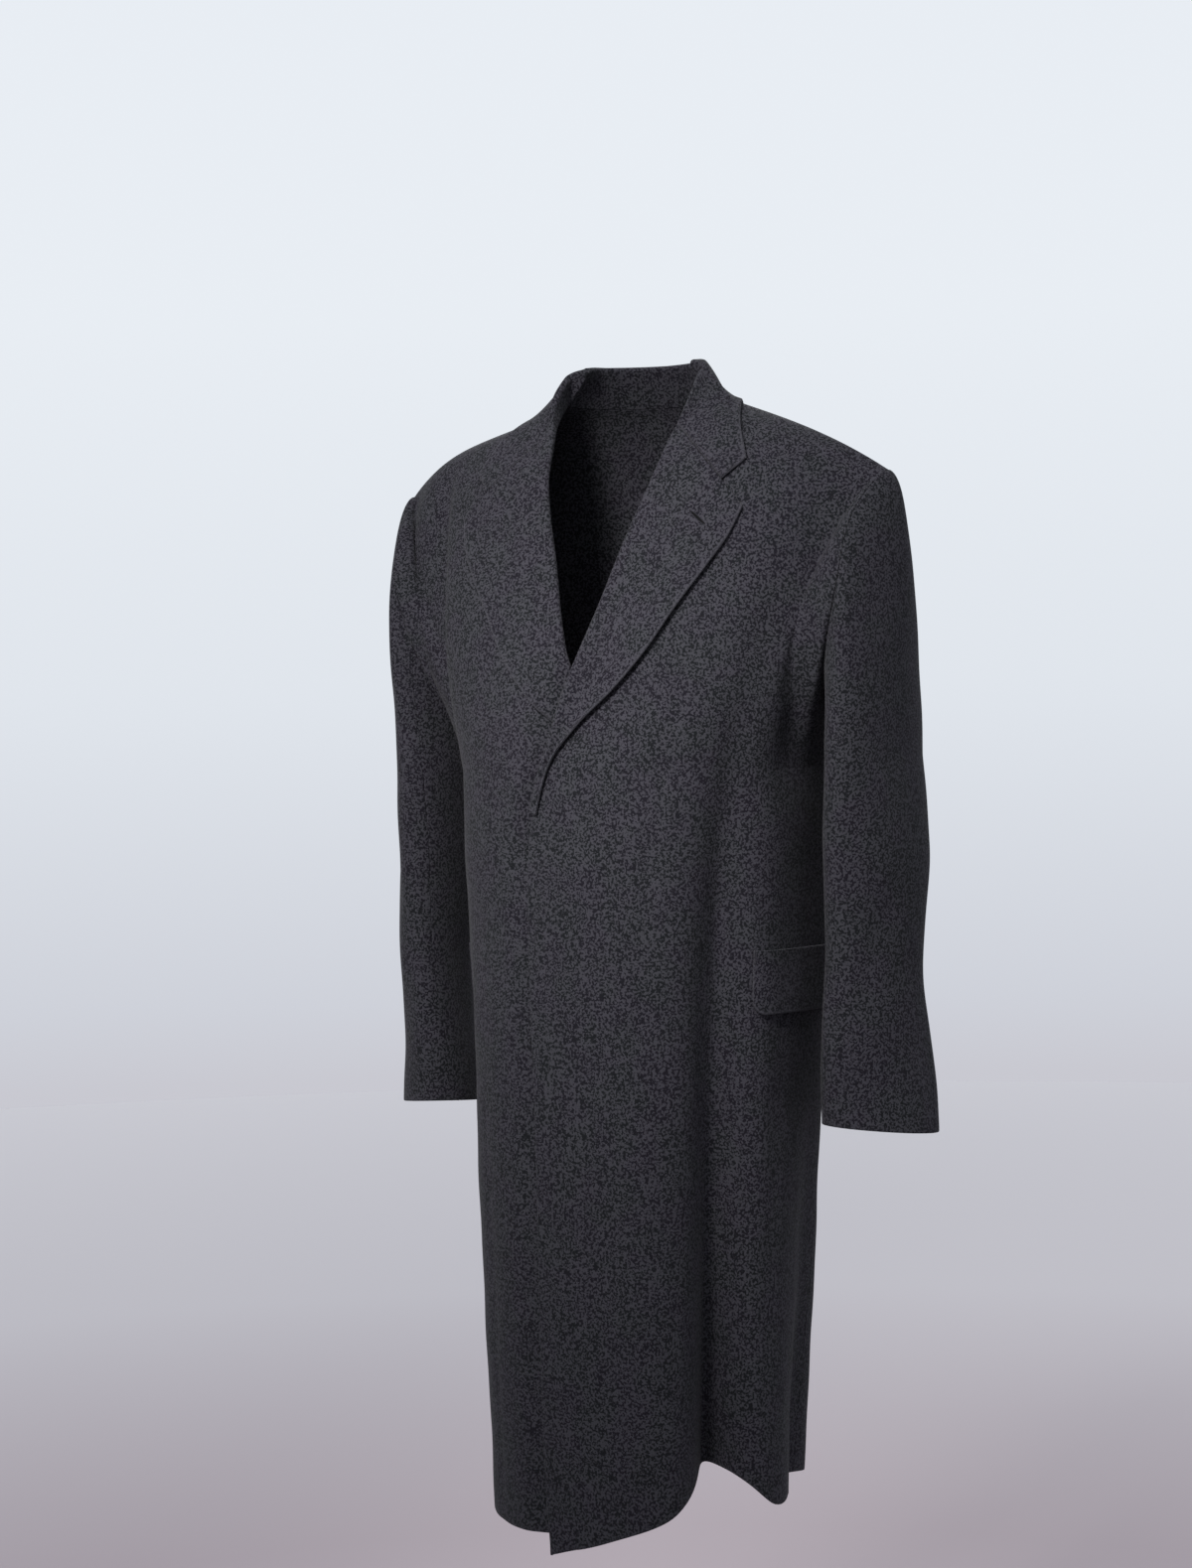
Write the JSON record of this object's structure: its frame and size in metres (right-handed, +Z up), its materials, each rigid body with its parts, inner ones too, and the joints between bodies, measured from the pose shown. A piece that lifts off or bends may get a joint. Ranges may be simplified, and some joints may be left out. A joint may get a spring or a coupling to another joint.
{
  "type": "long single-breasted wool overcoat in its worn form",
  "caption": "Long single-breasted wool overcoat, worn and hollow: notch lapels, turned-down collar, fly front, set-in sleeves and flapped side pockets.",
  "frame": {"origin": "middle of the neck at the height of the two neck points, where the shoulder seams meet the collar", "axes": "+X to the wearer's left, -Y to the front, +Z up"},
  "size_m": [0.6132, 0.2964, 1.1758],
  "materials": {
    "coating": "matt charcoal wool with a short brushed nap",
    "turned_coating": "the same wool, turned to the light"
  },
  "bodies": {
    "root": {"front_left": "coating", "front_right": "coating", "back_left": "coating", "back_right": "coating", "sleeve_top_left": "coating", "sleeve_top_right": "coating", "sleeve_under_left": "coating", "sleeve_under_right": "coating", "collar": "turned_coating", "lapel_left": "turned_coating", "lapel_right": "turned_coating", "pocket_flap_left": "turned_coating", "pocket_flap_right": "turned_coating"}
  },
  "joints": []
}
